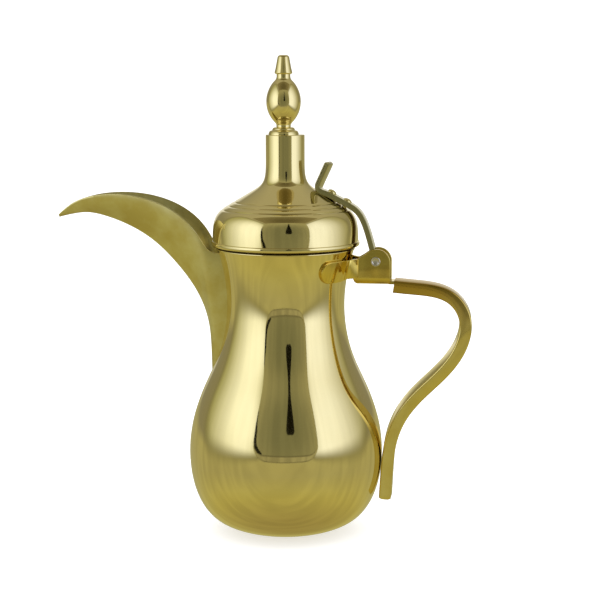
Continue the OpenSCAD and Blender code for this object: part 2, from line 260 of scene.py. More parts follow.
# Gold plate on pressed sheet, left satin. The eye gets a soft, even, olive gold that only hints at
# its surroundings, with very fine lines along the beak from the draw of the press.
def satin_gold(name, light, deep, haze, grain, grain_depth, painted_top_shade=None, painted_underside_shade=None, patchy=0.2):
    """The colour with two heights in mm, if given, is painted shade: going up, the surface colour turns to it
    between those heights. The direction, if given, picks the faces turned that way, which are painted dark
    brown as painted shade. patchy is how far apart the two golds lie."""
    material, tree = blank_material(name)
    place = add_node(tree, "ShaderNodeTexCoord")
    cloud = add_node(tree, "ShaderNodeTexNoise", {"Vector": place.outputs["Object"],
                     "Scale": 1 / (22 * mm), "Detail": 4.0, "Roughness": 0.6})
    share = add_node(tree, "ShaderNodeMapRange", {"Value": cloud.outputs["Fac"], "From Min": 0.5 - patchy,
                     "From Max": 0.5 + patchy})
    tint = add_node(tree, "ShaderNodeMix", {"Factor": share.outputs["Result"], "A": linear(light),
                    "B": linear(deep)}, data_type="RGBA")
    # Painted shade: going up between the two heights, the colour darkens to the given one.
    if painted_top_shade:
        parts = add_node(tree, "ShaderNodeSeparateXYZ", {"Vector": place.outputs["Object"]})
        height = add_node(tree, "ShaderNodeMapRange", {"Value": parts.outputs["Z"],
                          "From Min": painted_top_shade[1] * mm, "From Max": painted_top_shade[2] * mm},
                          interpolation_type="SMOOTHSTEP")
        tint = add_node(tree, "ShaderNodeMix", {"Factor": height.outputs["Result"],
                        "A": tint.outputs["Result"], "B": linear(painted_top_shade[0])}, data_type="RGBA")
    # Painted shade: faces turned towards the given direction are painted dark brown.
    if painted_underside_shade:
        facing = add_node(tree, "ShaderNodeVectorMath", {0: place.outputs["Normal"], 1: painted_underside_shade},
                          operation="DOT_PRODUCT")
        underside_shade_share = add_node(tree, "ShaderNodeMapRange", {"Value": facing.outputs["Value"], "From Min": 0.55,
                        "From Max": 0.8})
        tint = add_node(tree, "ShaderNodeMix", {"Factor": underside_shade_share.outputs["Result"],
                        "A": tint.outputs["Result"], "B": linear("#4a3617")}, data_type="RGBA")
    drawn = add_node(tree, "ShaderNodeMapping", {"Vector": place.outputs["Object"],
                     "Scale": (grain[0] / mm, grain[1] / mm, grain[2] / mm)})
    lines = add_node(tree, "ShaderNodeTexNoise", {"Vector": drawn.outputs["Vector"], "Scale": 1.0,
                     "Detail": 3.0, "Roughness": 0.6})
    rub = add_node(tree, "ShaderNodeTexNoise", {"Vector": place.outputs["Object"],
                   "Scale": 1 / (9 * mm), "Detail": 5.0, "Roughness": 0.7})
    both = add_node(tree, "ShaderNodeMath", {0: lines.outputs["Fac"], 1: rub.outputs["Fac"]},
                    operation="MULTIPLY")
    gloss = add_node(tree, "ShaderNodeMapRange", {"Value": both.outputs[0], "From Min": 0.12,
                     "From Max": 0.4, "To Min": haze * 0.85, "To Max": haze * 1.2})
    fine = add_node(tree, "ShaderNodeBump", {"Height": lines.outputs["Fac"], "Strength": 1.0,
                    "Distance": grain_depth * mm})
    swell = add_node(tree, "ShaderNodeTexNoise", {"Vector": place.outputs["Object"],
                     "Scale": 1 / (30 * mm), "Detail": 1.0, "Roughness": 0.4})
    bump = add_node(tree, "ShaderNodeBump", {"Height": swell.outputs["Fac"], "Strength": 1.0,
                    "Distance": 0.12 * mm, "Normal": fine.outputs["Normal"]})
    shader = add_node(tree, "ShaderNodeBsdfPrincipled", {"Base Color": tint.outputs["Result"],
                      "Metallic": 1.0, "Roughness": gloss.outputs["Result"],
                      "Normal": bump.outputs["Normal"]})
    add_node(tree, "ShaderNodeOutputMaterial", {"Surface": shader.outputs["BSDF"]})
    return material


pressed_gold = satin_gold("pressed_satin_gold_plate", "#e2daa0", "#d3c580", 0.34, (0.15, 1.5, 0.9), 0.003,
                          patchy=0.12)

keel = smooth_curve(keel_points, spout_lengthwise)
rim = smooth_curve(rim_points, spout_lengthwise)


def beak_skin(i, u):
    """Outer skin of one beak half, from the keel at u = 0 to the rim at u = 1."""
    foot, top = keel[i], rim[i]
    return Vector((foot.x + (top.x - foot.x) * u, top.y * (1 - (1 - u) ** fullness),
                   foot.y + (top.z - foot.y) * u))


def beak_inner(i, u):
    """Inner skin, one sheet thickness inside the outer one and on its own side of the middle."""
    a, b = max(i - 1, 0), min(i + 1, len(keel) - 1)
    s, t = max(u - 0.04, 0), min(u + 0.04, 1)
    normal = (beak_skin(b, u) - beak_skin(a, u)).cross(beak_skin(i, t) - beak_skin(i, s)).normalized()
    point = beak_skin(i, u) - normal * spout_sheet
    return Vector((point.x, 0 if u == 0 else max(point.y, 0.02 * u), point.z))


def beak_half(side):
    """One pressed half of the beak, cut to sit on the vessel."""
    shape = bmesh.new()
    across = [j / spout_across for j in range(spout_across + 1)]
    rows = []
    for i in range(len(keel)):
        loop = [beak_skin(i, u) for u in across]
        back = [beak_inner(i, u) for u in reversed(across)]
        # The rim's edge is rounded over by hand after trimming
        edge_out, edge_in = loop[-1], back[0]
        middle = (edge_out + edge_in) / 2
        rise = (loop[-1] - loop[-2]).normalized() * spout_sheet * 0.2
        loop[-1] = edge_out.lerp(middle, 0.12) - rise
        back[0] = edge_in.lerp(middle, 0.12) - rise
        loop += [edge_out.lerp(middle, 0.4), edge_in.lerp(middle, 0.4)]
        rows.append([shape.verts.new((p.x * mm, p.y * side * mm, p.z * mm)) for p in loop + back])
    count = len(rows[0])
    for i in range(len(rows) - 1):
        for j in range(count):
            k = (j + 1) % count
            shape.faces.new([rows[i][j], rows[i][k], rows[i + 1][k], rows[i + 1][j]])
    shape.faces.new(rows[0])
    shape.faces.new(list(reversed(rows[-1])))
    seat = turned([(0, 0)] + smooth_curve(vessel_points, 6) + [(0, mouth_height)], 128)
    return cut_away(shape, seat)


piece("spout_near", beak_half(-1), "pot", pressed_gold, ["spout_half_near"])
piece("spout_far", beak_half(1), "pot", pressed_gold, ["spout_half_far"])

# ---- Hinge bracket ----
# The bracket is one blank of 2 mm brass sheet bent up into two ears with a floor between them. A wing
# each side is bent round the neck and brazed on. It is buffed after bending, so its edges are soft.
pin = Vector(frame["joints"][0]["pos_m"]) / mm
ear_centre = (55.2, 165)
ear_radius = 8.1
ear_back = ear_centre[0] + ear_radius
ear_front = 41.1
web_front = 43.1
floor_height = 152.1
bend_radius = 4
bracket_sheet = 2
bracket_width = 14.4
wing_height = 161
wing_radius = 6.4
wing_angles = (-41, -22)
wing_sheet = bracket_sheet * 0.96
web_low = 5.2
web_high = 6.2
soft_edge = 0.35


def vessel_radius(height):
    """Radius of the vessel's outside at a height, in mm."""
    for low, high in zip(vessel_curve, vessel_curve[1:]):
        if low.y <= height <= high.y:
            return low.x + (high.x - low.x) * (height - low.y) / (high.y - low.y)
    return vessel_curve[-1].x


def bent_plate(outline, creases, thickness, rounding, place):
    """A flat blank with softened edges, creased at each v in creases, then bent to shape.
    place(u, v, t) gives the point in mm for length u, width v and height t in the sheet."""
    shape = bmesh.new()
    shape.faces.new([shape.verts.new((u, v, -thickness / 2)) for u, v in outline])
    for v in creases:
        everything = shape.verts[:] + shape.edges[:] + shape.faces[:]
        bmesh.ops.bisect_plane(shape, geom=everything, plane_co=(0, v, 0), plane_no=(0, 1, 0))
    raised = bmesh.ops.extrude_face_region(shape, geom=shape.faces[:], use_keep_orig=True)
    top = [v for v in raised["geom"] if isinstance(v, bmesh.types.BMVert)]
    bmesh.ops.translate(shape, verts=top, vec=(0, 0, thickness))
    bmesh.ops.recalc_face_normals(shape, faces=shape.faces[:])
    rims = [e for e in shape.edges if len(e.link_faces) == 2
            and {abs(round(f.normal.z)) for f in e.link_faces} == {0, 1}]
    bmesh.ops.bevel(shape, geom=rims, offset=rounding, segments=3, affect="EDGES", profile=0.5)
    for vert in shape.verts:
        vert.co = Vector(place(*vert.co)) * mm
    return shape


def joined(shape, other):
    """Adds another shape's mesh to the first."""
    mesh = bpy.data.meshes.new("joined")
    other.to_mesh(mesh)
    other.free()
    shape.from_mesh(mesh)
    bpy.data.meshes.remove(mesh)


floor_half = bracket_width / 2 - bend_radius
neutral = bend_radius - bracket_sheet / 2
bend_length = math.pi / 2 * neutral
ear_foot = floor_half + bend_length


def in_channel(u, v, t):
    """Bends the flat blank into the channel: floor, two bends and two ears."""
    side = 1 if v > 0 else -1
    across = abs(v)
    foot = floor_height + bend_radius
    if across <= floor_half:
        return u, v, floor_height + bracket_sheet / 2 + t
    if across <= ear_foot:
        a = (across - floor_half) / neutral
        return u, side * (floor_half + (neutral - t) * math.sin(a)), foot - (neutral - t) * math.cos(a)
    return u, side * (floor_half + neutral - t), foot + across - ear_foot


def ear_v(height):
    """Where a height on an ear lies across the flat blank, in mm."""
    return ear_foot + height - floor_height - bend_radius


slant = [(web_front - 2 * math.sin(a) ** 2, floor_half + neutral * a)
         for a in (math.pi / 2 * k / 6 for k in range(1, 6))]
ear_round = arc((ear_centre[0], ear_v(ear_centre[1])), ear_radius, 0, 130, 26)
ear = ([(ear_back, 0)] + [(p.x, p.y) for p in ear_round]
       + [(46.7, ear_v(168.9)), (web_front + 0.6, ear_v(167.2)), (web_front - 0.4, ear_v(165.5)),
          (ear_front + 0.2, ear_v(158))] + slant[::-1] + [(web_front, floor_half)])
blank = ear[1:] + [(u, -v) for u, v in reversed(ear[1:])]
folds = [side * (floor_half + bend_length * k / 8) for side in (-1, 1) for k in range(9)]
bracket = bent_plate(blank, folds, bracket_sheet, soft_edge, in_channel)

# The web leaves each ear and runs to the neck; the wing follows the neck to a half-round end
web_start = Vector((web_front + 0.9, -(floor_half + neutral)))
neck_radius = vessel_radius(wing_height) + bracket_sheet / 2
wing_from, wing_to = (math.radians(a) for a in wing_angles)
web_end = Vector((neck_radius * math.cos(wing_to), neck_radius * math.sin(wing_to)))
web_length = (web_end - web_start).length
wing_end = web_length + neck_radius * (wing_to - wing_from)
web_normal = Vector((web_start.y - web_end.y, web_end.x - web_start.x)).normalized() * -1


def round_neck(side):
    """Bends a flat wing blank along the web and round the neck, on one side."""
    def place(u, v, t):
        height = wing_height + u
        lean = vessel_radius(height) - vessel_radius(wing_height)
        if v < web_length:
            share = v / web_length
            soft = share * share * (3 - 2 * share)
            point = web_start.lerp(web_end, share)
            outward = Vector((math.cos(wing_to), math.sin(wing_to)))
            normal = web_normal.lerp(outward, soft ** 3).normalized()
            point = point + outward * lean * soft + normal * t
        else:
            a = wing_to - (v - web_length) / neck_radius
            point = Vector((math.cos(a), math.sin(a))) * (neck_radius + lean + t)
        return point.x, point.y * side, height
    return place


wing_outline = ([(-web_low, 0), (-web_low, web_length * 0.7), (-wing_radius, web_length + 1)]
                + [(-math.cos(a) * wing_radius, wing_end + math.sin(a) * wing_radius)
                   for a in (math.pi * k / 24 for k in range(25))]
                + [(wing_radius, web_length + 1), (web_high, web_length * 0.7), (web_high, 0)])
wing_creases = [web_length * k / 10 for k in range(1, 10)] + [web_length + 1.1 * k for k in range(18)]

# Bright gold plate on bent sheet, with soft polishing marks. Its base colour is a deeper, redder gold than
# the vessel's, a painted reflection of the pot's own gold that the flat sheet mirrors.
bracket_gold = satin_gold("polished_gold_plate_on_sheet", "#eed877", "#dcbe58", 0.1, (0.5, 0.5, 0.9), 0.001)

# A tongue of the floor runs back to the bar's slanted end and is brazed to it
bar_end = Vector((65.5, 0, floor_height))
bar_end_tilt = math.radians(9)
tongue_width = 10
tongue_inset = 0.02


def past_bar_end(point):
    """How far a point in mm lies past the bar's end face, along the bar."""
    return (point.x - bar_end.x) * math.cos(bar_end_tilt) - (point.z - bar_end.z) * math.sin(bar_end_tilt)


low_back = bar_end.x
high_back = bar_end.x + bracket_sheet * math.tan(bar_end_tilt)
corners = []
for y in (-tongue_width / 2, tongue_width / 2):
    for x, z in ((ear_back - 1, tongue_inset), (low_back, tongue_inset),
                 (high_back, bracket_sheet - tongue_inset), (ear_back - 1, bracket_sheet - tongue_inset)):
        corners.append(bracket.verts.new(Vector((x, y, floor_height + z)) * mm))
for face in ((0, 1, 2, 3), (7, 6, 5, 4), (0, 4, 5, 1), (1, 5, 6, 2), (2, 6, 7, 3), (3, 7, 4, 0)):
    bracket.faces.new([corners[i] for i in face])
for side in (1, -1):
    strip = bent_plate(wing_outline, wing_creases, wing_sheet, soft_edge, round_neck(side))
    joined(bracket, strip)
piece("hinge_bracket_bent_sheet", bracket, "pot", bracket_gold, ["hinge_bracket"], 40)

# ---- Hinge rivet ----
# A 3.5 mm bright steel rivet that the lid turns on. Its two ends are headed over outside the ears
# with a hollow punch, which leaves a raised ring round a dull centre.
head_radius = 2.9
shank_radius = 1.75

steel, tree = blank_material("bright_steel_rivet_wire")
place = add_node(tree, "ShaderNodeTexCoord")
pits = add_node(tree, "ShaderNodeTexNoise", {"Vector": place.outputs["Object"], "Scale": 1 / (0.9 * mm),
                "Detail": 4.0, "Roughness": 0.7})
tint = add_node(tree, "ShaderNodeMix", {"Factor": pits.outputs["Fac"], "A": linear("#e6e2dc"),
                "B": linear("#c4beb4")}, data_type="RGBA")
gloss = add_node(tree, "ShaderNodeMapRange", {"Value": pits.outputs["Fac"], "From Min": 0.3, "From Max": 0.7,
                 "To Min": 0.2, "To Max": 0.4})
bump = add_node(tree, "ShaderNodeBump", {"Height": pits.outputs["Fac"], "Strength": 1.0,
                "Distance": 0.04 * mm})
shader = add_node(tree, "ShaderNodeBsdfPrincipled", {"Base Color": tint.outputs["Result"], "Metallic": 1.0,
                  "Roughness": gloss.outputs["Result"], "Normal": bump.outputs["Normal"]})
add_node(tree, "ShaderNodeOutputMaterial", {"Surface": shader.outputs["BSDF"]})

half_grip = bracket_width / 2
head_edge = 0.55
head = [(head_radius, 0), (head_radius, 0.2)]
head += [(p.x, p.y) for p in arc((head_radius - head_edge, 0.35), head_edge, 0, 90, 8)]
head += [(2.05, 0.88), (1.8, 0.7), (1.6, 0.52), (0.8, 0.46), (0, 0.44)]
upper = [(r, half_grip + h) for r, h in head]
lower = [(r, -h) for r, h in reversed(upper)]
rivet = turned(lower + [(shank_radius, -half_grip), (shank_radius, half_grip)] + upper, 48)
bmesh.ops.transform(rivet, matrix=Matrix.Translation(pin * mm) @ Matrix.Rotation(math.pi / 2, 4, "X"),
                    verts=rivet.verts[:])
piece("hinge_rivet_steel", rivet, "pot", steel, ["hinge_rivet"], 40)

# ---- Handle ----
# The handle is one solid bar, 7 by 12 mm with rounded edges, bent by hand with a slight twist and
# brazed to the bracket above and the vessel's bulb below. Its faces are polished softly along the bar.
handle_points = [(62.6, 151.3, -4), (76.5, 150.1, -4), (89.5, 149.2, -3), (101, 145, -1),
                 (108.4, 134, 1), (107.7, 121, 6), (101, 107.4, 11), (89.9, 95.6, 13),
                 (78, 84.6, 12), (68.7, 72.1, 8), (63.6, 58.3, 4), (62, 44.3, 1), (61.2, 30.3, 0),
                 (60.7, 20.7, 0)]
bar_thickness = 7.4
bar_width = 12
bar_rounding = 1.1
end_rounding = 1.8


def bar_section(thickness, width, rounding, inset=0):
    """Outline of a bar's cross-section, drawn in by inset."""
    a, b = thickness / 2 - inset, width / 2 - inset
    r = max(rounding - inset, 0.1)
    corners = ((a - r, b - r, 0), (-a + r, b - r, 90), (-a + r, -b + r, 180), (a - r, -b + r, 270))
    outline = []
    for x, y, start in corners:
        outline += arc((x, y), r, start, start + 90, 6)
    return outline


def swept(rings):
    """A closed bar through its cross-sections, given in mm."""
    shape = bmesh.new()
    rings = [[shape.verts.new(p * mm) for p in ring] for ring in rings]
    for low, high in zip(rings, rings[1:]):
        for j in range(len(low)):
            k = (j + 1) % len(low)
            shape.faces.new([low[j], low[k], high[k], high[j]])
    shape.faces.new(rings[0])
    shape.faces.new(rings[-1])
    return shape


# Painted shade: the bar darkens to a brown gold going up from 120 mm to 156 mm, under the bracket and lid.
handle_gold = satin_gold("soft_polished_gold_plate_on_bar", "#eedf96", "#e0cb74", 0.1, (0.4, 0.4, 0.4), 0.001,
                         painted_top_shade=("#b9973c", 120, 156))
line = smooth_curve(handle_points, 10)
lengths = [0]
for a, b in zip(line, line[1:]):
    lengths.append(lengths[-1] + math.hypot(b.x - a.x, b.y - a.y))
rings = []
for i, point in enumerate(line):
    step = line[min(i + 1, len(line) - 1)] - line[max(i - 1, 0)]
    along = Vector((step.x, step.y)).normalized()
    out = Vector((-along.y, 0, along.x))
    left = lengths[-1] - lengths[i]
    inset = 0
    if left < end_rounding:
        inset = end_rounding - math.sqrt(end_rounding ** 2 - (end_rounding - left) ** 2)
    twist = math.radians(point.z)
    centre = Vector((point.x, 0, point.y))
    ring = []
    for p in bar_section(bar_thickness, bar_width, bar_rounding, inset):
        spot = (centre + out * (p.x * math.cos(twist) - p.y * math.sin(twist))
                + Vector((0, 1, 0)) * (p.x * math.sin(twist) + p.y * math.cos(twist)))
        ring.append(spot)
    rings.append(ring)
# The first rings are slid along the bar onto its slanted end face
while all(past_bar_end(p) < 0 for p in rings[1]):
    rings.pop(0)
for i, spot in enumerate(rings[0]):
    ahead = rings[1][i]
    share = past_bar_end(spot) / (past_bar_end(spot) - past_bar_end(ahead))
    rings[0][i] = spot.lerp(ahead, share)
piece("handle_bar", swept(rings), "pot", handle_gold, ["handle"], 40)

# ---- Lid ----
# The lid is spun in one piece from its rim over a low dome and a cone up to the closed chimney, then
# three fine grooves are turned on the cone. A rolled band stiffens its rim. It is buffed as the vessel.
chimney_radius = 11.6
lid_top = 240
lid_radius = 43.5
dome_points = [(chimney_radius, 240), (chimney_radius, 234), (chimney_radius, 226), (chimney_radius, 219.5),
               (12.2, 214.2), (14.2, 210.1), (19.5, 206.8), (27, 202.4), (33.8, 198.5), (39.8, 194.7),
               (42.7, 189.6), (43.4, 183.5), (43.5, 178.6), (lid_radius, 174.9)]
groove_radii = (30.6, 34.2, 37.6)
groove_depth = 0.3
groove_width = 0.55
chimney_edge = 0.5

dome = smooth_curve(dome_points, 30)
grooved = []
for point, inner in zip(dome, moved(dome, -1)):
    into = inner - point
    dip = sum(groove_depth * math.exp(-((point.x - r) / groove_width) ** 2) for r in groove_radii
              if point.y > 190)
    grooved.append(point + into * dip)
outer = [p for p in grooved if p.y < lid_top - chimney_edge]
lining = [p for p in moved(smooth_curve(dome_points, 6), -sheet) if p.y < lid_top - sheet - 0.3]
corner = arc((chimney_radius - chimney_edge, lid_top - chimney_edge), chimney_edge, 90, 0, 6)
lid_profile = ([(0, lid_top), (8, lid_top)] + corner + outer
               + [(lid_radius - sheet, outer[-1].y)] + lining[::-1]
               + [(chimney_radius - sheet, lid_top - sheet), (0, lid_top - sheet)])
piece("lid_dome", turned(lid_profile, 192), "lid", mirror_gold, ["lid_shell"])

band_low, band_high = 174.3, 177.2
band_out = 0.8
band_lip = 1.3
lip_height = 0.6
bead_half = (band_high - band_low) / 2
band = ([(lid_radius - band_lip, band_low), (lid_radius - 0.3, band_low)]
        + [(lid_radius + p.x * band_out / bead_half, p.y)
           for p in arc((0, band_low + bead_half), bead_half, -80, 80, 20)]
        + [(lid_radius - 0.02, band_high), (lid_radius - 0.02, band_low + lip_height),
           (lid_radius - band_lip, band_low + lip_height)])
piece("lid_rim_band", turned(band, 192, closed=True), "lid", mirror_gold, ["lid_band"])

# ---- Lid strap ----
# The strap is a 3.3 by 9.6 mm flat bar bent into a thumb tab, a run along the cone and a leg down to the
# hinge, where its end is forged into an eye round the rivet. Two rivets hold it to the lid.
strap_points = [(26.6, 224), (24.2, 218.7), (21.9, 213.8), (19.8, 209.6), (20.5, 206.6),
                (25, 205.6), (31.2, 202.3), (37.8, 199), (43.8, 195.3), (47.2, 189.3),
                (49.7, 182.1), (51.5, 175.4), (53.4, 168.2)]
strap_width = 9.6
strap_thickness = 3.3
eye_radius = 4.3
eye_bore = 1.8
strap_soft_edge = 0.4
tip_round = 1.3
# The tab is twisted by hand about an upright line, most of it just above the bend
tab_twist = math.radians(9)
tab_line = Vector((20.3, 0, 0))
tab_twist_from = 207
tab_twist_to = 211

# Painted shade: the strap's faces turned down and in, towards the lid, are painted dark brown.
strap_gold = satin_gold("pale_satin_gold_plate_on_flat_bar", "#cfc89b", "#b9b07e", 0.11, (0.5, 0.9, 0.5),
                        0.001, painted_underside_shade=(-0.8, 0, -0.6))

strap_line = smooth_curve(strap_points, 8)
rings = []
run = 0
for i, point in enumerate(strap_line):
    step = strap_line[min(i + 1, len(strap_line) - 1)] - strap_line[max(i - 1, 0)]
    along = step.normalized()
    out = Vector((-along.y, 0, along.x))
    if i:
        run += (point - strap_line[i - 1]).length
    inset = 0
    if run < tip_round:
        inset = tip_round - math.sqrt(tip_round ** 2 - (tip_round - run) ** 2)
    twisted = (point.y - tab_twist_from) / (tab_twist_to - tab_twist_from) if i < len(strap_line) / 2 else 0
    turn = Matrix.Rotation(-tab_twist * min(max(twisted, 0), 1), 3, "Z")
    ring = []
    for p in bar_section(strap_thickness, strap_width, strap_soft_edge, inset):
        spot = Vector((point.x, 0, point.y)) + out * p.x + Vector((0, p.y, 0))
        ring.append(tab_line + turn @ (spot - tab_line))
    rings.append(ring)
strap = swept(rings)
eye_half = strap_width / 2
eye = turned([(eye_bore, -eye_half), (eye_bore, eye_half), (eye_radius - 0.3, eye_half),
              (eye_radius, eye_half - 0.3), (eye_radius, 0.3 - eye_half), (eye_radius - 0.3, -eye_half)],
             64, closed=True)
bmesh.ops.transform(eye, matrix=Matrix.Translation(pin * mm) @ Matrix.Rotation(math.pi / 2, 4, "X"),
                    verts=eye.verts[:])
joined(strap, eye)
piece("lid_strap_flat_bar", strap, "lid", strap_gold, ["lid_strap"], 40)

# ---- Strap rivets ----
# Two brass rivets with low domed heads go square through the strap and the cone, and are headed over
# inside the lid. They were polished after riveting, so their heads shine more than the strap.
rivet_spots = ((27.25, 204.5), (36.4, 199.4))
rivet_slope = 29.5
rivet_head = 2.7
rivet_rise = 1.6
rivet_shank = 1.4
inner_head_radius = 2.2
inner_head_height = 0.6

# Profile of one rivet square to the strap, from its inner head up to the dome outside
half_strap = strap_thickness / 2
inner_head = -half_strap - sheet - 0.35
inner_face = inner_head - inner_head_height
dome_head = [(0, inner_face), (inner_head_radius, inner_face), (inner_head_radius, inner_head),
             (rivet_shank, inner_head), (rivet_shank, half_strap), (rivet_head, half_strap)]
dome_head += [(rivet_head * math.cos(a), half_strap + rivet_rise * math.sin(a))
              for a in (math.pi / 2 * k / 12 for k in range(1, 12))] + [(0, half_strap + rivet_rise)]
heads = bmesh.new()
for x, z in rivet_spots:
    one = turned(dome_head, 40)
    bmesh.ops.transform(one, verts=one.verts[:], matrix=Matrix.Translation(Vector((x, 0, z)) * mm)
                        @ Matrix.Rotation(math.radians(rivet_slope), 4, "Y"))
    joined(heads, one)
rivet_gold = satin_gold("polished_brass_rivet", "#ece0a4", "#d9c987", 0.12, (0.7, 0.7, 0.7), 0.002)
piece("strap_rivet_heads", heads, "lid", rivet_gold, ["strap_rivets"], 40)

# ---- Finial ----
# The finial is three pieces turned from brass rod: a stepped flange, an egg on a short neck, and a
# tapering tip. A steel stud through them draws them down on the chimney, with a nut inside the lid.
finial_x = -0.9
egg_points = [(4.3, 245.2), (4.3, 246.3), (6.4, 248.3), (9, 252.2), (10.3, 257), (10.4, 262),
              (8.8, 267), (6.3, 270.9), (4.3, 272.4), (4.1, 274.2)]
tip_height = 274.2
tip_top = 286.6


def finial_part(name, profile, node):
    """A turned finial piece, a little off the pot's own axis as the stud stands."""
    shape = turned([(0, profile[0][1])] + profile + [(0, profile[-1][1])], 96)
    bmesh.ops.translate(shape, verts=shape.verts[:], vec=(finial_x * mm, 0, 0))
    piece(name, shape, "lid", mirror_gold, [node])


flange = ([(9, 0), (9, 0.8)] + arc((7.2, 0.9), 1.6, 10, 90, 10) + [(6.9, 2.9)]
          + arc((5.2, 2.8), 1.5, 10, 80, 10))
finial_part("finial_flange_turned", [(r, lid_top + h) for r, h in flange + [(4.3, 4.6), (4.3, 5.2)]],
            "finial_flange")
finial_part("finial_egg_turned", smooth_curve(egg_points, 10), "finial_egg")
tip_rise = tip_top - tip_height
tip = ([(4.1, 0), (4.1, 1.2)] + arc((4.4, 2.2), 0.9, -60, 20, 10) + [(4.7, 4.6)]
       + arc((1.7, tip_rise - 1.9), 1.9, 20, 90, 12))
finial_part("finial_tip_turned", [(r, tip_height + h) for r, h in tip], "finial_tip")

# ---- Inside the lid ----
# The skirt that drops into the mouth, and the stud and nut that hold the finial, keep their CAD
# shape. The skirt is spun brass plated with the lid, but is coloured dark brown as painted shade, so the gap
# under the lid's rim reads dark; the stud and nut are plain bright steel.
skirt_shade_brass = satin_gold("skirt_brass_darkened_as_painted_shade", "#5a4a26", "#3f3319", 0.5, (0.5, 0.5, 0.5), 0.01)
for node, material in (("lid_skirt", skirt_shade_brass), ("finial_stud", steel), ("finial_nut", steel)):
    mesh = frame["nodes"][node].data
    mesh.materials.clear()
    mesh.materials.append(material)

# ---- Studio ----
# A white fabric tent stands round the pot, lit from both sides, with a darker front flap and a slit
# for the camera. Its walls are only mirrored in the pot and never stand in the camera's way.
flap_distance = 0.72
tent_turn = math.radians(7.5)
scene = bpy.context.scene


def glow(name, middle, edge, centre, reach, half=None, rounding=0.2, soft=0.1, folds=0.0):
    """Light from a tent wall, laid out in metres on the wall: the middle colour at centre turns to the
    edge colour at reach. half gives a soft rounded outline, folds a share of darker creases."""
    material, tree = blank_material(name)
    place = add_node(tree, "ShaderNodeTexCoord")
    centred = add_node(tree, "ShaderNodeMapping", {"Vector": place.outputs["Object"],
                       "Location": (-centre[0] / reach[0], -centre[1] / reach[1], 0),
                       "Scale": (1 / reach[0], 1 / reach[1], 0)})
    far = add_node(tree, "ShaderNodeVectorMath", {0: centred.outputs["Vector"]}, operation="LENGTH")
    share = add_node(tree, "ShaderNodeMapRange", {"Value": far.outputs["Value"], "From Min": 0.15,
                     "From Max": 1.0}, interpolation_type="SMOOTHSTEP")
    tone = add_node(tree, "ShaderNodeMix", {"Factor": share.outputs["Result"], "A": middle, "B": edge},
                    data_type="RGBA")
    streaked = add_node(tree, "ShaderNodeMapping", {"Vector": place.outputs["Object"],
                        "Rotation": (0, 0, 0.9), "Scale": (11, 1.8, 1)})
    crease = add_node(tree, "ShaderNodeTexNoise", {"Vector": streaked.outputs["Vector"], "Scale": 1.0,
                      "Detail": 2.0, "Roughness": 0.5, "Distortion": 0.4})
    dip = add_node(tree, "ShaderNodeMapRange", {"Value": crease.outputs["Fac"], "From Min": 0.4,
                   "From Max": 0.6, "To Min": 1 - folds, "To Max": 1 + folds * 0.6})
    light = add_node(tree, "ShaderNodeEmission", {"Color": tone.outputs["Result"],
                     "Strength": dip.outputs["Result"]})
    surface = light.outputs["Emission"]
    if half:
        clear = add_node(tree, "ShaderNodeBsdfTransparent")
        spot = add_node(tree, "ShaderNodeVectorMath", {0: place.outputs["Object"], 1: (half[0], half[1], 0)},
                        operation="SUBTRACT")
        mirrored = add_node(tree, "ShaderNodeVectorMath", {0: spot.outputs["Vector"]}, operation="ABSOLUTE")
        beyond = add_node(tree, "ShaderNodeVectorMath", {0: mirrored.outputs["Vector"],
                          1: (half[0] - rounding, half[1] - rounding, 0)}, operation="SUBTRACT")
        outer = add_node(tree, "ShaderNodeVectorMath", {0: beyond.outputs["Vector"], 1: (0, 0, 0)},
                         operation="MAXIMUM")
        edge_way = add_node(tree, "ShaderNodeVectorMath", {0: outer.outputs["Vector"]}, operation="LENGTH")
        fade = add_node(tree, "ShaderNodeMapRange", {"Value": edge_way.outputs["Value"],
                        "From Min": rounding - soft, "From Max": rounding}, interpolation_type="SMOOTHSTEP")
        surface = add_node(tree, "ShaderNodeMixShader", {0: fade.outputs["Result"], 1: surface,
                           2: clear.outputs["BSDF"]}).outputs["Shader"]
    add_node(tree, "ShaderNodeOutputMaterial", {"Surface": surface})
    return material


def tent_wall(name, outline, right, up, corner, material):
    """A flat piece of tent cloth, seen only in mirrors. outline holds points along right and up."""
    turn = Matrix.Rotation(tent_turn, 3, "Z")
    mesh = bpy.data.meshes.new(name)
    mesh.from_pydata([(x, y, 0) for x, y in outline], [], [tuple(range(len(outline)))])
    mesh.materials.append(material)
    wall = bpy.data.objects.new(name, mesh)
    scene.collection.objects.link(wall)
    right, up = turn @ Vector(right), turn @ Vector(up)
    wall.matrix_world = Matrix.Translation(turn @ Vector(corner)) @ Matrix(
        (right, up, right.cross(up))).transposed().to_4x4()
    wall.visible_camera = False
    wall.visible_diffuse = False
    wall.visible_shadow = False
    wall.visible_transmission = False


def lit(r, g, b):
    """Linear light given off by the tent's cloth, with alpha. It may be over 1."""
    return (r, g, b, 1)


def sheet_outline(width, height, corner_radius=0.0, low=0.0):
    """Outline of a sheet of cloth, its two lower corners rounded."""
    if not corner_radius:
        return [(0, low), (width, low), (width, height), (0, height)]
    r = corner_radius
    left = arc((r, low + r * 0.75), r, 180, 270, 10)
    right = arc((width - r, low + r * 0.75), r, 270, 360, 10)
    squashed = [(p.x, low + r * 0.75 + (p.y - low - r * 0.75) * 0.75) for p in left + right]
    return squashed + [(width, height), (0, height)]


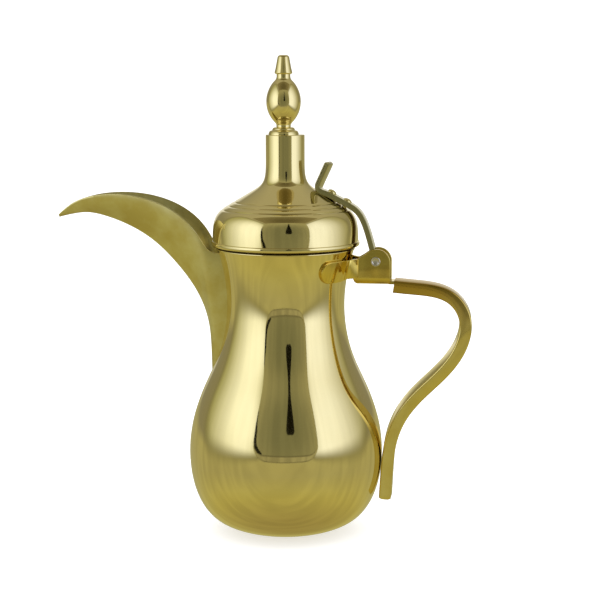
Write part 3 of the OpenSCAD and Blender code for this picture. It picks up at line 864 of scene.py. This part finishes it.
half_flap = 0.55
tent_height = 0.95
side_front = 0.35
side_back = 0.32
side_low = -0.02
flap_low = 0.06
frame_gap = 0.004
slit_gap = 0.02
side_depth = flap_distance + side_front + side_back
side_size = sheet_outline(side_depth, tent_height)
side_half = (side_depth / 2, tent_height / 2)
left_lit = glow("tent_left_lit", lit(1.22, 1.28, 1.42), lit(0.42, 0.42, 0.23), (0.72, 0.36), (0.68, 0.72),
                side_half, 0.3, 0.13, folds=0.03)
right_lit = glow("tent_right_lit", lit(1.12, 1.18, 1.42), lit(0.40, 0.39, 0.25), (0.62, 0.30), (0.70, 1.15),
                 side_half, 0.3, 0.13, folds=0.03)
frame_dim = lit(0.25, 0.24, 0.14)
side_grown = 0.06
frame_size = sheet_outline(side_depth + 2 * side_grown, tent_height + 2 * side_grown)
frame_half = (side_half[0] + side_grown, side_half[1] + side_grown)
side_frame = glow("tent_side_frame", frame_dim, frame_dim, (0.5, 0.5), (1, 1), frame_half, 0.34, 0.13)
tent_wall("tent_left_frame", frame_size, (0, -1, 0), (0, 0, 1),
          (-half_flap - frame_gap, side_back + side_grown, side_low - side_grown), side_frame)
tent_wall("tent_right_frame", frame_size, (0, 1, 0), (0, 0, 1),
          (half_flap + frame_gap, -flap_distance - side_front - side_grown, side_low - side_grown),
          side_frame)
tent_wall("tent_left", side_size, (0, -1, 0), (0, 0, 1), (-half_flap, side_back, side_low), left_lit)
tent_wall("tent_right", side_size, (0, 1, 0), (0, 0, 1),
          (half_flap, -flap_distance - side_front, side_low), right_lit)
flap_width = 2 * half_flap
seam = glow("tent_seam", lit(0.13, 0.125, 0.08), lit(0.19, 0.18, 0.11), (0.5, 0.5), (0.8, 0.8))
hem = glow("tent_hem", lit(0.34, 0.32, 0.20), lit(0.40, 0.38, 0.24), (0.5, 0.0), (0.7, 0.5), folds=0.15)
flap = glow("tent_front_flap", lit(0.20, 0.20, 0.125), lit(0.36, 0.345, 0.215), (0.55, 0.25), (0.8, 0.7),
            folds=0.07)
for name, grown, step, cloth in (("tent_hem_seam", 0.075, 0.003, seam), ("tent_hem", 0.065, 0.006, hem),
                                 ("tent_flap_seam", 0.016, 0.009, seam), ("tent_flap", 0.0, 0.012, flap)):
    outline = sheet_outline(flap_width + grown * 0.3, tent_height, 0.2 + grown, -grown)
    tent_wall(name, outline, (1, 0, 0), (0, 0, 1),
              (-half_flap - grown * 0.15, -flap_distance + step, flap_low), cloth)
roof_cloth = glow("tent_roof_front", lit(0.13, 0.11, 0.055), lit(0.24, 0.21, 0.12), (0.55, 0.25), (0.6, 0.6))
tent_wall("tent_roof", sheet_outline(flap_width, flap_distance - 0.04), (1, 0, 0), (0, 1, 0),
          (-half_flap, -flap_distance, tent_height + 0.05), roof_cloth)
gap = glow("tent_slit", lit(0.004, 0.004, 0.002), lit(0.01, 0.009, 0.005), (0.5, 0.5), (1, 1))
tent_wall("tent_opening", [(0.02, 0), (0.1, 0), (0.125, 0.03), (0.118, 0.12), (0.10, 0.26), (0.085, 0.38),
                           (0.08, 0.56), (0.05, 0.56), (0.045, 0.38), (0.03, 0.26), (0.008, 0.12), (0, 0.03)],
          (1, 0, 0), (0, 0, 1), (0.008, -flap_distance + slit_gap, 0.262), gap)
tent_wall("tent_post", [(0.18, 0), (0.19, 0.012), (0.12, 0.06), (0.075, 0.11), (0.06, 0.17), (0.055, 0.26),
                        (0.03, 0.36), (0.012, 0.48), (0, 0.48), (0, 0.26), (0.004, 0.14), (0.03, 0.075),
                        (0.09, 0.02)],
          (1, 0, 0), (0, 0, 1), (-half_flap + 0.006, -flap_distance + slit_gap, 0.058), gap)

# The tent's cloth all round: floor, back and roof, as the mirror finish sees them. Straight on, the
# backdrop is plain white.
world = bpy.data.worlds.new("studio")
scene.world = world
world.use_nodes = True
tree = world.node_tree
tree.nodes.clear()
way = add_node(tree, "ShaderNodeTexCoord")
parts = add_node(tree, "ShaderNodeSeparateXYZ", {"Vector": way.outputs["Generated"]})
creased = add_node(tree, "ShaderNodeMapping", {"Vector": way.outputs["Generated"], "Rotation": (0.3, 0, 0.7),
                   "Scale": (1.6, 8, 2.5)})
folds = add_node(tree, "ShaderNodeTexNoise", {"Vector": creased.outputs["Vector"], "Scale": 1.0,
                 "Detail": 1.0, "Roughness": 0.4, "Distortion": 0.3})
below = add_node(tree, "ShaderNodeMapRange", {"Value": parts.outputs["Z"], "From Min": -0.95,
                 "From Max": -0.5})
wavy = add_node(tree, "ShaderNodeMapRange", {"Value": folds.outputs["Fac"], "From Min": 0.35,
                "From Max": 0.65, "To Min": 0.93, "To Max": 1.06})
near = add_node(tree, "ShaderNodeMapRange", {"Value": parts.outputs["Z"], "From Min": -0.3,
                "From Max": -0.62})
sunlit = add_node(tree, "ShaderNodeMix", {"Factor": near.outputs["Result"], "A": lit(0.425, 0.40, 0.215),
                  "B": lit(0.52, 0.48, 0.18)}, data_type="RGBA")
ground = add_node(tree, "ShaderNodeMix", {"Factor": below.outputs["Result"], "A": lit(0.36, 0.31, 0.13),
                  "B": sunlit.outputs["Result"]}, data_type="RGBA")
cloth = add_node(tree, "ShaderNodeVectorMath", {0: ground.outputs["Result"], "Scale": wavy.outputs["Result"]},
                 operation="SCALE")
above = add_node(tree, "ShaderNodeMapRange", {"Value": parts.outputs["Z"], "From Min": 0.3, "From Max": 0.8})
roof = add_node(tree, "ShaderNodeMix", {"Factor": above.outputs["Result"], "A": lit(0.27, 0.255, 0.18),
                "B": lit(0.43, 0.405, 0.30)}, data_type="RGBA")
behind = Vector((-math.sin(tent_turn), math.cos(tent_turn), 0))
facing = add_node(tree, "ShaderNodeVectorMath", {0: way.outputs["Generated"], 1: behind},
                  operation="DOT_PRODUCT")
back = add_node(tree, "ShaderNodeMapRange", {"Value": facing.outputs["Value"], "From Min": 0.88,
                "From Max": 0.96})
lit_back = add_node(tree, "ShaderNodeMix", {"Factor": back.outputs["Result"], "A": roof.outputs["Result"],
                    "B": lit(0.86, 0.85, 0.79)}, data_type="RGBA")
over = add_node(tree, "ShaderNodeMapRange", {"Value": parts.outputs["Z"], "From Min": -0.1,
                "From Max": -0.02})
studio = add_node(tree, "ShaderNodeMix", {"Factor": over.outputs["Result"], "A": cloth.outputs["Vector"],
                  "B": lit_back.outputs["Result"]}, data_type="RGBA")
ray = add_node(tree, "ShaderNodeLightPath")
seen = add_node(tree, "ShaderNodeMix", {"Factor": ray.outputs["Is Glossy Ray"], "A": lit(1.25, 1.25, 1.25),
                "B": studio.outputs["Result"]}, data_type="RGBA")
sky = add_node(tree, "ShaderNodeBackground", {"Color": seen.outputs["Result"], "Strength": 1.0})
add_node(tree, "ShaderNodeOutputWorld", {"Surface": sky.outputs["Background"]})

# Plain pale floor sheet, and a soft lamp over it
floor_mesh = bpy.data.meshes.new("floor")
reach = 3
floor_mesh.from_pydata([(-reach, -reach, 0), (reach, -reach, 0), (reach, reach, 0), (-reach, reach, 0)], [],
                       [(0, 1, 2, 3)])
floor = bpy.data.objects.new("floor", floor_mesh)
scene.collection.objects.link(floor)
paper, tree = blank_material("white_floor_paper")
shader = add_node(tree, "ShaderNodeBsdfPrincipled", {"Base Color": lit(0.6, 0.6, 0.6), "Roughness": 0.9,
                  "Specular IOR Level": 0.0, "Emission Color": lit(1, 1, 1), "Emission Strength": 0.62})
add_node(tree, "ShaderNodeOutputMaterial", {"Surface": shader.outputs["BSDF"]})
floor_mesh.materials.append(paper)
floor.visible_glossy = False
lamp = bpy.data.lights.new("soft_lamp", "AREA")
lamp.shape = "RECTANGLE"
lamp.size = 2.0
lamp.size_y = 2.0
lamp.energy = 16
lamp_thing = bpy.data.objects.new("soft_lamp", lamp)
lamp_thing.location = (0, 0, 1.8)
lamp_thing.visible_glossy = False
lamp_thing.visible_camera = False
scene.collection.objects.link(lamp_thing)
scene.view_settings.view_transform = "Standard"

# ---- Camera ----
# A long lens a metre away, which keeps the pot's proportions. It stands a little to the spout's right
# of square on and slightly above.
camera = bpy.data.cameras.new("camera")
camera.lens = 100
camera.sensor_width = 36
camera_thing = bpy.data.objects.new("camera", camera)
scene.collection.objects.link(camera_thing)
azimuth, elevation, roll = (math.radians(a) for a in (7.5, 8.5, 0.1))
aim = Vector((8.7, 0, 141.1)) * mm
distance = 1.0
back_way = Vector((math.sin(azimuth) * math.cos(elevation), -math.cos(azimuth) * math.cos(elevation),
                   math.sin(elevation)))
camera_thing.location = aim + back_way * distance
turn = back_way.to_track_quat("Z", "Y").to_matrix() @ Matrix.Rotation(-roll, 3, "Z")
camera_thing.rotation_euler = turn.to_euler()
scene.camera = camera_thing
